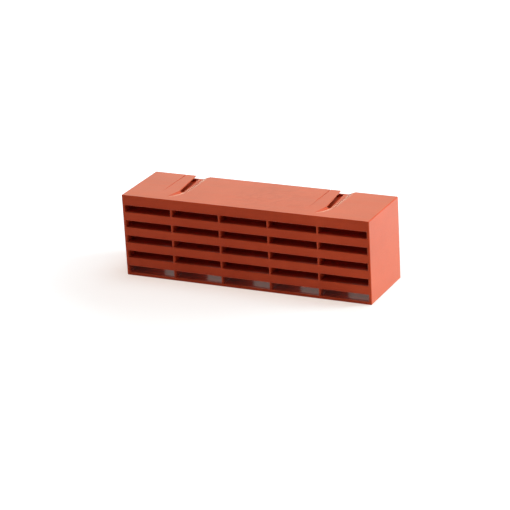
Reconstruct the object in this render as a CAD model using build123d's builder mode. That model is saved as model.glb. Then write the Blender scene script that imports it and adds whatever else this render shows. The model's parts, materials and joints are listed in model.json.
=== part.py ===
import os

from math import cos, radians, sqrt, tan

from build123d import *

# Plastic air brick: one moulding, open at the back, with a louvred grille in front.
# X runs along the brick, the grille faces -Y, Z is up from the base. Sizes in millimetres.

# Outside of the moulding
length = 215.0
depth = 60.0
height = 69.0
top_front_radius = 1.6
base_front_radius = 0.6
end_edge_radius = 0.8

# Walls
end_wall = 2.2
top_wall = 2.6
floor_wall = 2.5
divider_wall = 1.5
divider_setback = 5.0  # from the rear rim to the dividers, where a duct sleeve enters

# Front grille
columns = 5
rows = 5
slot_height = 5.9
head_band = 8.6  # plain face above the top row of slots
face_wall = 2.4
slot_edge_radius = 0.4

# Louvre blades: a level shelf behind each bar that turns up to keep rain out
blade_wall = 1.6
shelf_run = 12.0
blade_angle = 72.0
knee_radius = 2.5
sight_gap = 0.3  # how far a blade's tip stays below the top of its slot

# Clip slots in the top, both of the same hand, open at the rear rim
clip_spacing = 128.8
clip_offset = -5.9  # how far the lip edges stand to the left of the slots' centres
clip_run = 38.0
clip_taper = 6.0
lip_width = 8.7
lip_wall = 1.0
slit_width = 3.2
pocket_height = 3.6
sill_wall = 1.6  # sill that closes each pocket at the rear, level with the scoop
housing_wall = 1.4
crease_width = 0.7
crease_depth = 0.6
crease_run = 44.0

# Scoop beside each slit, which lets a hook in from above
scoop_depth = 2.4
scoop_width = 11.6
scoop_run = 54.0
scoop_straight = 36.0
scoop_end_radius = 22.5
scoop_fade = 2  # power with which the floor rises towards the front
slope_run = 4.4  # width of the sloped right side
end_shares = (0.15, 0.3, 0.5, 0.7, 0.85, 0.97)  # where the rounded end is sectioned

# How far a cut reaches past the face that it opens
overcut = 1.0

# Places that follow from the sizes above
front = -depth / 2
rear = depth / 2
inner_length = length - 2 * end_wall
cell_width = (inner_length - (columns - 1) * divider_wall) / columns
cell_pitch = cell_width + divider_wall
cell_height = height - floor_wall - top_wall
grille_height = height - floor_wall - head_band
row_pitch = (grille_height - slot_height) / (rows - 1)
tip_half = blade_wall / 2 * cos(radians(blade_angle))
blade_rise = slot_height - sight_gap - tip_half + blade_wall / 2
blade_reach = blade_rise / tan(radians(blade_angle))
pocket_floor = lip_wall + pocket_height
slant = tan(radians(clip_taper))
lip_end = slant * clip_run
scoop_end = scoop_run - scoop_straight


def scoop_floor(run):
    """Depth of the scoop at a distance in front of the rear rim."""
    return scoop_depth * (1 - (max(run, 0) / scoop_run) ** scoop_fade)


def scoop_rim(run):
    """Distance from the lip's rear corner to the scoop's right rim."""
    past = max(run - scoop_straight, 0)
    return scoop_width - scoop_end_radius + sqrt(scoop_end_radius**2 - past**2)


# One clip slot as a cutter: the lip's rear corner is the origin and the rim faces +Y
with BuildPart() as clip_slot:
    # Pocket under the lip, in front of the sill
    with BuildSketch(Plane.XY.offset(-lip_wall)):
        with BuildLine():
            Polyline(
                (-lip_width, -sill_wall),
                (slit_width + slant * sill_wall, -sill_wall),
                (slit_width + lip_end, -clip_run),
                (-lip_width, -clip_run),
                close=True,
            )
        make_face()
    extrude(amount=-pocket_height)
    # Mouth between the lip and the sill
    with BuildSketch(Plane.XY.offset(-scoop_depth)):
        with BuildLine():
            Polyline(
                (-lip_width, overcut),
                (slit_width - slant * overcut, overcut),
                (slit_width + lip_end, -clip_run),
                (-lip_width, -clip_run),
                close=True,
            )
        make_face()
    extrude(amount=scoop_depth - lip_wall)
    # Slit between the lip and the scoop
    with BuildSketch(Plane.XY.offset(-scoop_depth)):
        with BuildLine():
            Polyline(
                (-slant * overcut, overcut),
                (slit_width - slant * overcut, overcut),
                (slit_width + lip_end, -clip_run),
                (lip_end, -clip_run),
                close=True,
            )
        make_face()
    extrude(amount=scoop_depth + overcut)
    # Scoop, with a sloped right side, which turns in and fades out towards the front
    stations = [-overcut, scoop_straight / 2, scoop_straight]
    stations += [scoop_straight + share * scoop_end for share in end_shares]
    for run in stations:
        beside_slit = run < clip_run
        to_tip = (scoop_run - run) / (scoop_run - clip_run)
        left = slant * run + slit_width / 2 if beside_slit else lip_end * to_tip
        low = scoop_floor(run)
        rim = scoop_rim(run)
        foot = max(rim - slope_run, rim / 2)
        with BuildSketch(Plane.XZ.offset(run)):
            with BuildLine():
                Polyline(
                    (left, low),
                    (left, -low if beside_slit else 0),
                    (foot, -low),
                    (2 * rim - foot, low),
                    close=True,
                )
            make_face()
    loft(ruled=True)
    # Crease along the root of the lip
    with BuildSketch(Plane.YZ.offset(-lip_width)):
        with BuildLine():
            Polyline(
                (overcut, overcut),
                (overcut, -crease_depth),
                (0, -crease_depth),
                (-crease_run, 0),
                (-crease_run, overcut),
                close=True,
            )
        make_face()
    extrude(amount=crease_width / 2, both=True)

with BuildPart() as air_brick:
    # Outer block with its rounded edges
    with BuildSketch(Plane.YZ):
        block = Rectangle(depth, height, align=(Align.CENTER, Align.MIN))
        front_corners = block.vertices().group_by(Axis.X)[0].sort_by(Axis.Y)
        fillet(front_corners[0], base_front_radius)
        fillet(front_corners[-1], top_front_radius)
    extrude(amount=length / 2, both=True)
    ends = air_brick.faces().filter_by(Axis.X)
    end_edges = ends.edges().filter_by_position(Axis.Y, front, rear - end_edge_radius)
    fillet(end_edges.filter_by(lambda edge: edge.center().Z > base_front_radius), end_edge_radius)

    # Cells behind the face, and the open rim behind the dividers
    with BuildSketch(Plane.XZ.offset(-rear)):
        with Locations((0, floor_wall)):
            Rectangle(inner_length, cell_height, align=(Align.CENTER, Align.MIN))
    extrude(amount=divider_setback, mode=Mode.SUBTRACT)
    with BuildSketch(Plane.XZ.offset(-rear)):
        with Locations((0, floor_wall + cell_height / 2)):
            with GridLocations(cell_pitch, 0, columns, 1):
                Rectangle(cell_width, cell_height)
    extrude(amount=depth - face_wall, mode=Mode.SUBTRACT)

    # Slots of the grille
    with BuildSketch(Plane.XZ.offset(-front)):
        with Locations((0, floor_wall + grille_height / 2)):
            with GridLocations(cell_pitch, row_pitch, columns, rows):
                Rectangle(cell_width, slot_height)
    extrude(amount=-face_wall, mode=Mode.SUBTRACT)

    # Louvre blades, level with the top of each bar, across all the cells
    for row in range(1, rows):
        shelf = floor_wall + row * row_pitch - blade_wall / 2
        with BuildSketch(Plane.YZ):
            with BuildLine():
                FilletPolyline(
                    (front + face_wall / 2, shelf),
                    (front + shelf_run, shelf),
                    (front + shelf_run + blade_reach, shelf + blade_rise),
                    radius=knee_radius,
                )
            trace(line_width=blade_wall)
        extrude(amount=inner_length / 2, both=True)

    # Housings under the top wall that close the clip slots
    with BuildSketch(Plane.XY.offset(height - top_wall)):
        with GridLocations(clip_spacing, 0, 2, 1):
            with Locations((clip_offset - lip_width - housing_wall, rear)):
                Rectangle(
                    lip_width + scoop_width + 2 * housing_wall,
                    clip_run + housing_wall,
                    align=(Align.MIN, Align.MAX),
                )
    extrude(amount=-(pocket_floor + housing_wall - top_wall))

    # The clip slots themselves
    with GridLocations(clip_spacing, 0, 2, 1):
        with Locations((clip_offset, rear, height)):
            add(clip_slot.part, mode=Mode.SUBTRACT)

    # Softened edges round every slot of the grille
    face = air_brick.faces().filter_by(Axis.Y).sort_by(Axis.Y)[0]
    fillet(ShapeList(edge for wire in face.inner_wires() for edge in wire.edges()), slot_edge_radius)

air_brick.part.label = "air_brick"

os.makedirs("parts", exist_ok=True)
export_step(air_brick.part, "parts/air_brick.step")
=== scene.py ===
import json
import math

import bpy
from mathutils import Matrix, Vector

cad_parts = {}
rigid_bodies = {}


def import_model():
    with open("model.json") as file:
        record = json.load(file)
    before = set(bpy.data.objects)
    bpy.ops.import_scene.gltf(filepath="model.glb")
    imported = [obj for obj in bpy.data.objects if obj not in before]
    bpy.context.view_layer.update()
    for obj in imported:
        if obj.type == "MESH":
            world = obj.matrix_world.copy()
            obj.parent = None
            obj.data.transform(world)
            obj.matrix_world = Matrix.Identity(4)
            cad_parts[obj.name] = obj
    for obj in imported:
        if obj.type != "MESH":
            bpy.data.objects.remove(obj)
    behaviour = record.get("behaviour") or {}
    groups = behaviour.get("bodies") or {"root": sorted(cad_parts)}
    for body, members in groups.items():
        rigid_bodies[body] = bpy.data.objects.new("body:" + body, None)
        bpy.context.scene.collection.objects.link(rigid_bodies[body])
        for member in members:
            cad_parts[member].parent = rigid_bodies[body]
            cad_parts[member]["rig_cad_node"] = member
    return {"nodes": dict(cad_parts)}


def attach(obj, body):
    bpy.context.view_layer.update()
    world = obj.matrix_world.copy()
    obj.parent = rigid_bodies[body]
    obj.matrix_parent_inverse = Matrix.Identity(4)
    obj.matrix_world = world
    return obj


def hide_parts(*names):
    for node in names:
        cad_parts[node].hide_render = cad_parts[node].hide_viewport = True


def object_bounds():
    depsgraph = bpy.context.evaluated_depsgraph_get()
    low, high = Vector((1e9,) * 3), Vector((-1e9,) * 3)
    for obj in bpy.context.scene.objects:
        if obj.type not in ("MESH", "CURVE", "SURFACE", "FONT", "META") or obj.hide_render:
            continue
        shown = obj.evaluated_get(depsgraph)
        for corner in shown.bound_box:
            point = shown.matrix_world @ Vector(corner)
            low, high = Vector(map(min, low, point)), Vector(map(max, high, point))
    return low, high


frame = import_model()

cadLow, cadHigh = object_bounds()
print("Frame loaded, nodes:", sorted(frame["nodes"]))


# Helpers for node trees. A value fed to a socket is a number, a colour or another node's output.
def addNode(tree, kind, place, **settings):
    node = tree.nodes.new(kind)
    node.location = place
    for key, value in settings.items():
        setattr(node, key, value)
    return node


def feed(tree, socket, value):
    if isinstance(value, bpy.types.NodeSocket):
        tree.links.new(value, socket)
    else:
        socket.default_value = value


def addMath(tree, operation, first, second, place):
    node = addNode(tree, "ShaderNodeMath", place, operation=operation)
    feed(tree, node.inputs[0], first)
    feed(tree, node.inputs[1], second)
    return node.outputs["Value"]


def addVectorMath(tree, operation, first, second, place, result="Vector"):
    node = addNode(tree, "ShaderNodeVectorMath", place, operation=operation)
    feed(tree, node.inputs[0], first)
    feed(tree, node.inputs[1], second)
    return node.outputs[result]


def splitVector(tree, vector, place):
    node = addNode(tree, "ShaderNodeSeparateXYZ", place)
    feed(tree, node.inputs["Vector"], vector)
    return node.outputs


def addRange(tree, value, fromSpan, toSpan, place, curve="LINEAR"):
    node = addNode(tree, "ShaderNodeMapRange", place, interpolation_type=curve)
    names = ("Value", "From Min", "From Max", "To Min", "To Max")
    for name, given in zip(names, (value, *fromSpan, *toSpan)):
        feed(tree, node.inputs[name], given)
    return node.outputs["Result"]


def mixValues(tree, factor, first, second, place):
    node = addNode(tree, "ShaderNodeMix", place, data_type="FLOAT")
    for index, given in zip((0, 2, 3), (factor, first, second)):
        feed(tree, node.inputs[index], given)
    return node.outputs[0]


def mixColours(tree, factor, first, second, place, blend="MIX"):
    node = addNode(tree, "ShaderNodeMix", place, data_type="RGBA", blend_type=blend)
    for index, given in zip((0, 6, 7), (factor, first, second)):
        feed(tree, node.inputs[index], given)
    return node.outputs[2]


def addNoise(tree, vector, place, settings):
    node = addNode(tree, "ShaderNodeTexNoise", place)
    feed(tree, node.inputs["Vector"], vector)
    for name, given in settings.items():
        feed(tree, node.inputs[name], given)
    return node.outputs["Fac"]


def addBump(tree, height, distance, place):
    node = addNode(tree, "ShaderNodeBump", place)
    feed(tree, node.inputs["Height"], height)
    feed(tree, node.inputs["Distance"], distance)
    return node


def insetFrom(tree, point, box, place):
    # Distance to the nearest side of a box, positive inside it
    x, y = place
    low, high = box
    aboveLow = addVectorMath(tree, "SUBTRACT", point, low, (x, y))
    belowHigh = addVectorMath(tree, "SUBTRACT", high, point, (x, y + 200))
    nearest = addVectorMath(tree, "MINIMUM", aboveLow, belowHigh, (x + 200, y + 100))
    sides = splitVector(tree, nearest, (x + 400, y + 100))
    across = addMath(tree, "MINIMUM", sides["X"], sides["Y"], (x + 600, y + 100))
    return addMath(tree, "MINIMUM", across, sides["Z"], (x + 780, y + 100))


# Terracotta-coloured moulded plastic. Colours are linear, lengths are metres.
plasticFinish = {
    "ior": 1.5,
    "deepTone": (0.490, 0.050, 0.015, 1),
    "paleTone": (0.560, 0.066, 0.022, 1),
    "noiseSpan": (0.3, 0.7),  # the part of a noise's values that is used
    "mottle": {"Scale": 26, "Detail": 5, "Roughness": 0.55},  # patches about 40 mm across
    "specks": {"Scale": 1100, "Detail": 2},  # just under a millimetre
    "speckShare": 0.10,
    "streaks": {"Scale": 1, "Detail": 3, "Roughness": 0.6},
    "streakStretch": (14, 260, 1500),  # streaks run along the brick
    "streakShare": 0.10,
    "streakHeight": 0.000008,
    "grain": {"Scale": 2600, "Detail": 2},
    "grainHeight": 0.000012,
    # Flow marks on the top, round the place where the plastic flowed in
    "ripples": {"Scale": 70, "Detail": 2, "Distortion": 2.2},
    "flowCentre": (0.012, -0.004, 0.069),
    "flowReach": 0.060,
    "flowSharpness": (0.34, 0.74),
    "flowHeight": 0.000030,
    "flowCut": 0.10,  # how much the deepest mark darkens the skin
    # Skin: its bloom and shine die out inside the slots
    "skinRough": (0.30, 0.37),
    "skinBox": ((-0.1068, -0.0299, -0.0100), (0.1068, 0.0300, 0.0662)),
    "skinDepth": 0.0015,
    "bloom": 1.0,
    "innerBloom": 0.04,
    "bloomRough": 0.30,
    "bloomTint": (1.0, 1.0, 0.74, 1),
    "shine": 0.27,
    "innerShine": 0.04,
    "shineTint": (1.0, 0.40, 0.30, 1),
    # Sloped sides of the scoops, which lean to the left: a painted pinker tint on their sheen
    # highlight, and less shine
    "leanPaintedSheenTint": (1.0, 0.70, 0.53, 1),
    "leanCut": 0.15,
    "leanSpan": (-0.01, -0.08),
    "leanUpward": 0.4,
    # Core side of the mould: polished, and with painted shade that darkens its colour deeper
    # inside the slots
    "coreBox": ((-0.1056, -0.0272, 0.0020), (0.1056, 0.0295, 0.0625)),
    "coreRough": 0.14,
    "coreShine": 0.21,
    # painted shade: a tone that multiplies the base colour deep inside the slots and cells
    "coreShadeTone": (0.62, 0.45, 0.45, 1),
    "coreShadeFade": (-0.0290, -0.0210),  # from the face inwards
}


def makePlastic(finish):
    material = bpy.data.materials.new("terracottaPlastic")
    material.use_nodes = True
    tree = material.node_tree
    shader = tree.nodes["Principled BSDF"]
    shader.inputs["IOR"].default_value = finish["ior"]
    shader.inputs["Sheen Roughness"].default_value = finish["bloomRough"]
    shader.inputs["Specular Tint"].default_value = finish["shineTint"]
    point = addNode(tree, "ShaderNodeTexCoord", (-1800, 0)).outputs["Object"]

    # Slow drift of the pigment, and fine specks
    mottle = addNoise(tree, point, (-1400, 500), finish["mottle"])
    drift = addRange(tree, mottle, finish["noiseSpan"], (0, 1), (-1200, 500))
    tone = mixColours(tree, drift, finish["deepTone"], finish["paleTone"], (-950, 500))
    specks = addNoise(tree, point, (-1400, 200), finish["specks"])
    tone = mixColours(tree, finish["speckShare"], tone, specks, (-720, 420), "OVERLAY")

    # Streaks along the brick, as left by the flow in the mould, with a gloss that follows them
    stretch = addNode(tree, "ShaderNodeMapping", (-1600, -150))
    feed(tree, stretch.inputs["Vector"], point)
    feed(tree, stretch.inputs["Scale"], finish["streakStretch"])
    streaks = addNoise(tree, stretch.outputs["Vector"], (-1400, -150), finish["streaks"])
    tone = mixColours(tree, finish["streakShare"], tone, streaks, (-480, 380), "OVERLAY")
    gloss = addRange(tree, streaks, finish["noiseSpan"], finish["skinRough"], (-950, 100))

    # Flow marks on the top, which die out away from their centre
    fromCentre = addVectorMath(
        tree, "DISTANCE", point, finish["flowCentre"], (-1600, -500), "Value"
    )
    flowSpan = (0, finish["flowReach"])
    fade = addRange(tree, fromCentre, flowSpan, (1, 0), (-1200, -500), "SMOOTHSTEP")
    ripples = addNoise(tree, point, (-1400, -750), finish["ripples"])
    sharpness = finish["flowSharpness"]
    marks = addRange(tree, ripples, sharpness, (0, 1), (-1200, -750), "SMOOTHSTEP")
    flow = addMath(tree, "MULTIPLY", fade, marks, (-950, -550))
    flowLoss = addMath(tree, "MULTIPLY", flow, finish["flowCut"], (-720, -550))
    flowKept = addMath(tree, "SUBTRACT", 1, flowLoss, (-540, -550))
    tone = mixColours(tree, 1, tone, flowKept, (-360, 300), "MULTIPLY")

    # Polished inside, between the corners of the core; away from the face the colour darkens
    # with painted shade, where the slots and cells fall into shade
    coreInset = insetFrom(tree, point, finish["coreBox"], (-1600, 900))
    inCore = addMath(tree, "GREATER_THAN", coreInset, 0, (-640, 1000))
    depth = splitVector(tree, point, (-1600, 1250))["Y"]
    inward = addRange(tree, depth, finish["coreShadeFade"], (0, 1), (-1400, 1250))
    coreShadeShare = addMath(tree, "MULTIPLY", inCore, inward, (-420, 1150))
    tone = mixColours(tree, coreShadeShare, tone, finish["coreShadeTone"], (-240, 420), "MULTIPLY")
    feed(tree, shader.inputs["Base Color"], tone)
    rough = mixValues(tree, inCore, gloss, finish["coreRough"], (-420, 700))
    feed(tree, shader.inputs["Roughness"], rough)

    # How far a face leans to the left, if it faces up; such faces get the painted pinker sheen
    # highlight
    geometry = addNode(tree, "ShaderNodeNewGeometry", (-1600, 2000))
    facing = splitVector(tree, geometry.outputs["Normal"], (-1400, 2000))
    lean = addRange(tree, facing["X"], finish["leanSpan"], (0, 1), (-1200, 2000))
    upward = addMath(tree, "GREATER_THAN", facing["Z"], finish["leanUpward"], (-1200, 2200))
    leaning = addMath(tree, "MULTIPLY", lean, upward, (-1000, 2000))

    # Bloom on the skin
    inset = insetFrom(tree, point, finish["skinBox"], (-1600, 1500))
    skinSpan = (0, finish["skinDepth"])
    bloomSpan = (finish["bloom"], finish["innerBloom"])
    bloom = addRange(tree, inset, skinSpan, bloomSpan, (-640, 1500))
    bloomKept = addMath(tree, "MULTIPLY", bloom, flowKept, (-220, 1500))
    feed(tree, shader.inputs["Sheen Weight"], bloomKept)
    # painted highlight colour: the sheen on left-leaning faces is tinted pinker
    tint = mixColours(tree, leaning, finish["bloomTint"], finish["leanPaintedSheenTint"], (-420, 2200))
    feed(tree, shader.inputs["Sheen Tint"], tint)

    # Shine of the skin and of the core
    shineSpan = (finish["shine"], finish["innerShine"])
    skinShine = addRange(tree, inset, skinSpan, shineSpan, (-640, 1250))
    shine = mixValues(tree, inCore, skinShine, finish["coreShine"], (-420, 900))
    leanLoss = addMath(tree, "MULTIPLY", leaning, finish["leanCut"], (-800, 2000))
    leanKept = addMath(tree, "SUBTRACT", 1, leanLoss, (-600, 2000))
    shineKept = addMath(tree, "MULTIPLY", shine, leanKept, (-220, 900))
    feed(tree, shader.inputs["Specular IOR Level"], shineKept)

    # Relief of the skin: fine grain, then streaks, then flow marks
    grain = addNoise(tree, point, (-950, -150), finish["grain"])
    grainBump = addBump(tree, grain, finish["grainHeight"], (-700, -150))
    streakBump = addBump(tree, streaks, finish["streakHeight"], (-480, -200))
    flowBump = addBump(tree, flow, finish["flowHeight"], (-260, -250))
    feed(tree, streakBump.inputs["Normal"], grainBump.outputs["Normal"])
    feed(tree, flowBump.inputs["Normal"], streakBump.outputs["Normal"])
    feed(tree, shader.inputs["Normal"], flowBump.outputs["Normal"])
    return material


plastic = makePlastic(plasticFinish)
print("Plastic finish made")

# The moulding: a merged copy of the solid, with softened edges and smoothly shaded rounds.
# Lengths are metres, angles degrees.
moulding = {
    "name": "airBrickMoulding",
    "mergeDistance": 0.000002,
    "flatAngle": 0.2,
    "crestRound": 0.0020,  # where the scoops' right sides are steepest
    "crestSegments": 8,
    "crestSteepness": 0.45,
    "leastSteepness": 0.01,
    "leastUpward": 0.5,
    "topTolerance": 0.00001,
    "edgeRound": 0.00016,
    "edgeAngle": 40,
    "edgeSegments": 4,
    "smoothAngle": 23.5,
    "creaseAngle": 4,  # the scoops meet the top in shallow creases
    "creaseZone": ((-0.100, -0.0270, 0.0660), (0.100, 0.0310, 0.0700)),
    "crossTolerance": 0.00002,
    "flatWeight": 100,
}
solid = frame["nodes"]["air_brick"]
bpy.ops.object.select_all(action="DESELECT")
solid.select_set(True)
bpy.context.view_layer.objects.active = solid
bpy.ops.object.duplicate()
brick = bpy.context.active_object
brick.name = moulding["name"]
brick.data.name = moulding["name"]
del brick["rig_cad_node"]
bpy.ops.object.mode_set(mode="EDIT")
bpy.ops.mesh.select_all(action="SELECT")
bpy.ops.mesh.customdata_custom_splitnormals_clear()
bpy.ops.mesh.remove_doubles(threshold=moulding["mergeDistance"])
bpy.ops.mesh.dissolve_limited(angle_limit=math.radians(moulding["flatAngle"]))
bpy.ops.object.mode_set(mode="OBJECT")
print("Moulding merged:", len(brick.data.vertices), "points,", len(brick.data.polygons), "faces")

# Crests where the scoops' sloped sides meet the top, rounded more where the side is steeper
zoneLow, zoneHigh = (Vector(corner) for corner in moulding["creaseZone"])


def onTop(point):
    level = abs(point.z - cadHigh.z) < moulding["topTolerance"]
    return level and zoneLow.x < point.x < zoneHigh.x


def leftLean(normal):
    return -normal.x if normal.z > moulding["leastUpward"] else 0


normalsAt = {}
for face in brick.data.polygons:
    for key in face.edge_keys:
        normalsAt.setdefault(key, []).append(face.normal.copy())
crestWeights = brick.data.attributes.new("bevel_weight_edge", "FLOAT", "EDGE")
crestCount = 0
for edge in brick.data.edges:
    steepness = max(leftLean(normal) for normal in normalsAt[edge.key])
    isHigh = all(onTop(brick.data.vertices[i].co) for i in edge.vertices)
    if isHigh and steepness > moulding["leastSteepness"]:
        crestWeights.data[edge.index].value = min(steepness / moulding["crestSteepness"], 1)
        crestCount += 1
crests = brick.modifiers.new("crests", "BEVEL")
crests.limit_method = "WEIGHT"
crests.width = moulding["crestRound"]
crests.segments = moulding["crestSegments"]
crests.use_clamp_overlap = False
bpy.ops.object.modifier_apply(modifier=crests.name)
print("Crests rounded:", crestCount, "edges")

# All sharp edges, softened a little
soften = brick.modifiers.new("softEdges", "BEVEL")
soften.limit_method = "ANGLE"
soften.angle_limit = math.radians(moulding["edgeAngle"])
soften.width = moulding["edgeRound"]
soften.segments = moulding["edgeSegments"]
soften.use_clamp_overlap = False
bpy.ops.object.modifier_apply(modifier=soften.name)
# The scoops' tips are shallower than the rounding, so points pushed up there go back to the top
for point in brick.data.vertices:
    point.co.z = min(point.co.z, cadHigh.z)
bpy.ops.object.shade_smooth_by_angle(angle=math.radians(moulding["smoothAngle"]))
print("Edges softened")

# Creases round the scoops stay sharp; the cross lines between their sections stay smooth
bpy.ops.object.mode_set(mode="EDIT")
bpy.ops.mesh.select_mode(type="EDGE")
bpy.ops.mesh.select_all(action="DESELECT")
bpy.ops.mesh.edges_select_sharp(sharpness=math.radians(moulding["creaseAngle"]))
bpy.ops.object.mode_set(mode="OBJECT")
for edge in brick.data.edges:
    a, b = (brick.data.vertices[i].co for i in edge.vertices)
    inZone = all(zoneLow[k] < p[k] < zoneHigh[k] for p in (a, b) for k in range(3))
    runsBack = abs(a.y - b.y) > moulding["crossTolerance"]
    edge.select = edge.select and inZone and runsBack
bpy.ops.object.mode_set(mode="EDIT")
bpy.ops.mesh.mark_sharp()
bpy.ops.object.mode_set(mode="OBJECT")
flatten = brick.modifiers.new("flatFaces", "WEIGHTED_NORMAL")
flatten.mode = "FACE_AREA"
flatten.weight = moulding["flatWeight"]
flatten.keep_sharp = True
bpy.ops.object.modifier_apply(modifier=flatten.name)
brick.data.materials.clear()
brick.data.materials.append(plastic)
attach(brick, "root")
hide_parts("air_brick")
print("Moulding finished:", len(brick.data.polygons), "faces")

# Pale floor, white to the camera where nothing shades it
floorSpec = {
    "name": "paleFloor",
    "size": 14,
    "tone": (0.84, 0.78, 0.75, 1),  # what lights the brick
    "seenTone": (0.305, 0.385, 0.455, 1),  # what the camera sees, with the lift
    # painted warm glow near the brick: it stands in for light bounced off the red plastic into
    # the shadows there
    "liftNear": (0.700, 0.578, 0.515, 1),  # warm, as the shadows near the brick are
    "liftFar": (0.92, 0.92, 0.92, 1),
    "liftReach": (0.12, 0.27),  # from the middle of the brick
}
bpy.ops.object.select_all(action="DESELECT")
bpy.ops.mesh.primitive_plane_add(size=floorSpec["size"], location=(0, 0, cadLow.z))
floor = bpy.context.active_object
floor.name = floorSpec["name"]


def seenDirectly(tree, place):
    # 1 for rays from the camera, in a mirror image or through glass
    x, y = place
    path = addNode(tree, "ShaderNodeLightPath", place).outputs
    either = addMath(tree, "MAXIMUM", path["Is Camera Ray"], path["Is Glossy Ray"], (x + 200, y))
    return addMath(tree, "MAXIMUM", either, path["Is Transmission Ray"], (x + 400, y))


def makeFloor(spec):
    material = bpy.data.materials.new(spec["name"])
    material.use_nodes = True
    tree = material.node_tree
    tree.nodes.clear()
    seen = seenDirectly(tree, (-900, -250))
    matte = addNode(tree, "ShaderNodeBsdfDiffuse", (0, 150))
    tone = mixColours(tree, seen, spec["tone"], spec["seenTone"], (-250, 150))
    feed(tree, matte.inputs["Color"], tone)

    # A lift that only the camera and mirror images see; near the brick it is a warm painted
    # glow, standing in for light bounced off the red plastic into the shadows
    point = addNode(tree, "ShaderNodeTexCoord", (-900, -500)).outputs["Object"]
    away = addVectorMath(tree, "DISTANCE", point, (0, 0, 0), (-700, -500), "Value")
    ramp = addRange(tree, away, spec["liftReach"], (0, 1), (-500, -500), "SMOOTHSTEP")
    lift = mixColours(tree, ramp, spec["liftNear"], spec["liftFar"], (-250, -400))
    glow = addNode(tree, "ShaderNodeEmission", (0, -150))
    feed(tree, glow.inputs["Color"], lift)
    feed(tree, glow.inputs["Strength"], seen)
    both = addNode(tree, "ShaderNodeAddShader", (300, 0))
    feed(tree, both.inputs[0], matte.outputs["BSDF"])
    feed(tree, both.inputs[1], glow.outputs["Emission"])
    out = addNode(tree, "ShaderNodeOutputMaterial", (600, 0))
    feed(tree, out.inputs["Surface"], both.outputs["Shader"])
    return material


floor.data.materials.append(makeFloor(floorSpec))
print("Floor laid")

# Surround that lights the object softly, more from behind than from in front.
# It is white to the camera, and warm and bright in mirror images.
surround = {
    "front": 0.12,
    "rear": 0.32,
    "turn": (-0.3, 0.7),
    "tone": (1.0, 0.86, 0.79, 1),
    "seenLevel": 1,
    "seenTone": (1, 1, 1, 1),
}
world = bpy.data.worlds.new("whiteSurround")
bpy.context.scene.world = world
world.use_nodes = True
skyTree = world.node_tree
sky = skyTree.nodes["Background"]
heading = addNode(skyTree, "ShaderNodeTexCoord", (-900, -300)).outputs["Generated"]
rearward = splitVector(skyTree, heading, (-700, -300))["Y"]
levels = (surround["front"], surround["rear"])
lightLevel = addRange(skyTree, rearward, surround["turn"], levels, (-500, -300))
skySeen = seenDirectly(skyTree, (-900, 0))
seenSpan = (lightLevel, surround["seenLevel"])
skyLevel = addRange(skyTree, skySeen, (0, 1), seenSpan, (-200, 0))
feed(skyTree, sky.inputs["Strength"], skyLevel)
skyPath = addNode(skyTree, "ShaderNodeLightPath", (-500, 300)).outputs
skyTone = mixColours(
    skyTree, skyPath["Is Camera Ray"], surround["tone"], surround["seenTone"], (-200, 300)
)
feed(skyTree, sky.inputs["Color"], skyTone)
print("Surround set")

# Lamps: one overhead and a little behind, one from the right, and a weak one over the front
lamps = {
    "top": {
        "place": (0.15, 0.18, 1.42),
        "size": 0.80,
        "power": 16.5,
        "tone": (0.92, 1.0, 0.96),
    },
    "side": {
        "place": (1.35, 0.65, 0.60),
        "size": 0.60,
        "power": 29,
        "tone": (0.84, 1.0, 0.92),
    },
    "front": {
        "place": (-0.35, -1.5, 0.9),
        "size": 1.2,
        "power": 1.3,
        "tone": (1.0, 0.82, 0.74),
    },
}
lampAim = Vector((0, 0, 0.03))
for lampName, lampSpec in lamps.items():
    bpy.ops.object.light_add(type="AREA", location=lampSpec["place"])
    lamp = bpy.context.active_object
    lamp.name = lampName + "Lamp"
    lamp.data.size = lampSpec["size"]
    lamp.data.energy = lampSpec["power"]
    lamp.data.color = lampSpec["tone"]
    lamp.rotation_euler = (lampAim - lamp.location).to_track_quat("-Z", "Y").to_euler()
print("Lamps set")

# Camera at the photograph's viewing angle
cameraSpec = {
    "azimuth": 26.35,
    "elevation": 20.86,
    "roll": -3.22,
    "distance": 1.8,
    "lens": 158.75,
    "sensor": 36,
    "clipEnd": 100,
    "pivot": (0, 0, 0.032),
    "slide": (-0.00441, -0.01270),  # along the picture's right and up
}
az, el, roll = (math.radians(cameraSpec[k]) for k in ("azimuth", "elevation", "roll"))
back = Vector((math.sin(az) * math.cos(el), -math.cos(az) * math.cos(el), math.sin(el)))
level = Vector((0, 0, 1)).cross(back).normalized()
upright = back.cross(level)
right = math.cos(roll) * level + math.sin(roll) * upright
up = math.cos(roll) * upright - math.sin(roll) * level
slideRight, slideUp = cameraSpec["slide"]
place = Vector(cameraSpec["pivot"]) + back * cameraSpec["distance"]
place = place + right * slideRight + up * slideUp
bpy.ops.object.camera_add()
camera = bpy.context.active_object
camera.name = "photoCamera"
camera.data.lens = cameraSpec["lens"]
camera.data.sensor_width = cameraSpec["sensor"]
camera.data.clip_end = cameraSpec["clipEnd"]
camera.matrix_world = Matrix.Translation(place) @ Matrix((right, up, back)).transposed().to_4x4()
bpy.context.scene.camera = camera
bpy.context.scene.view_settings.view_transform = "Standard"
print("Camera placed")

bpy.context.view_layer.update()
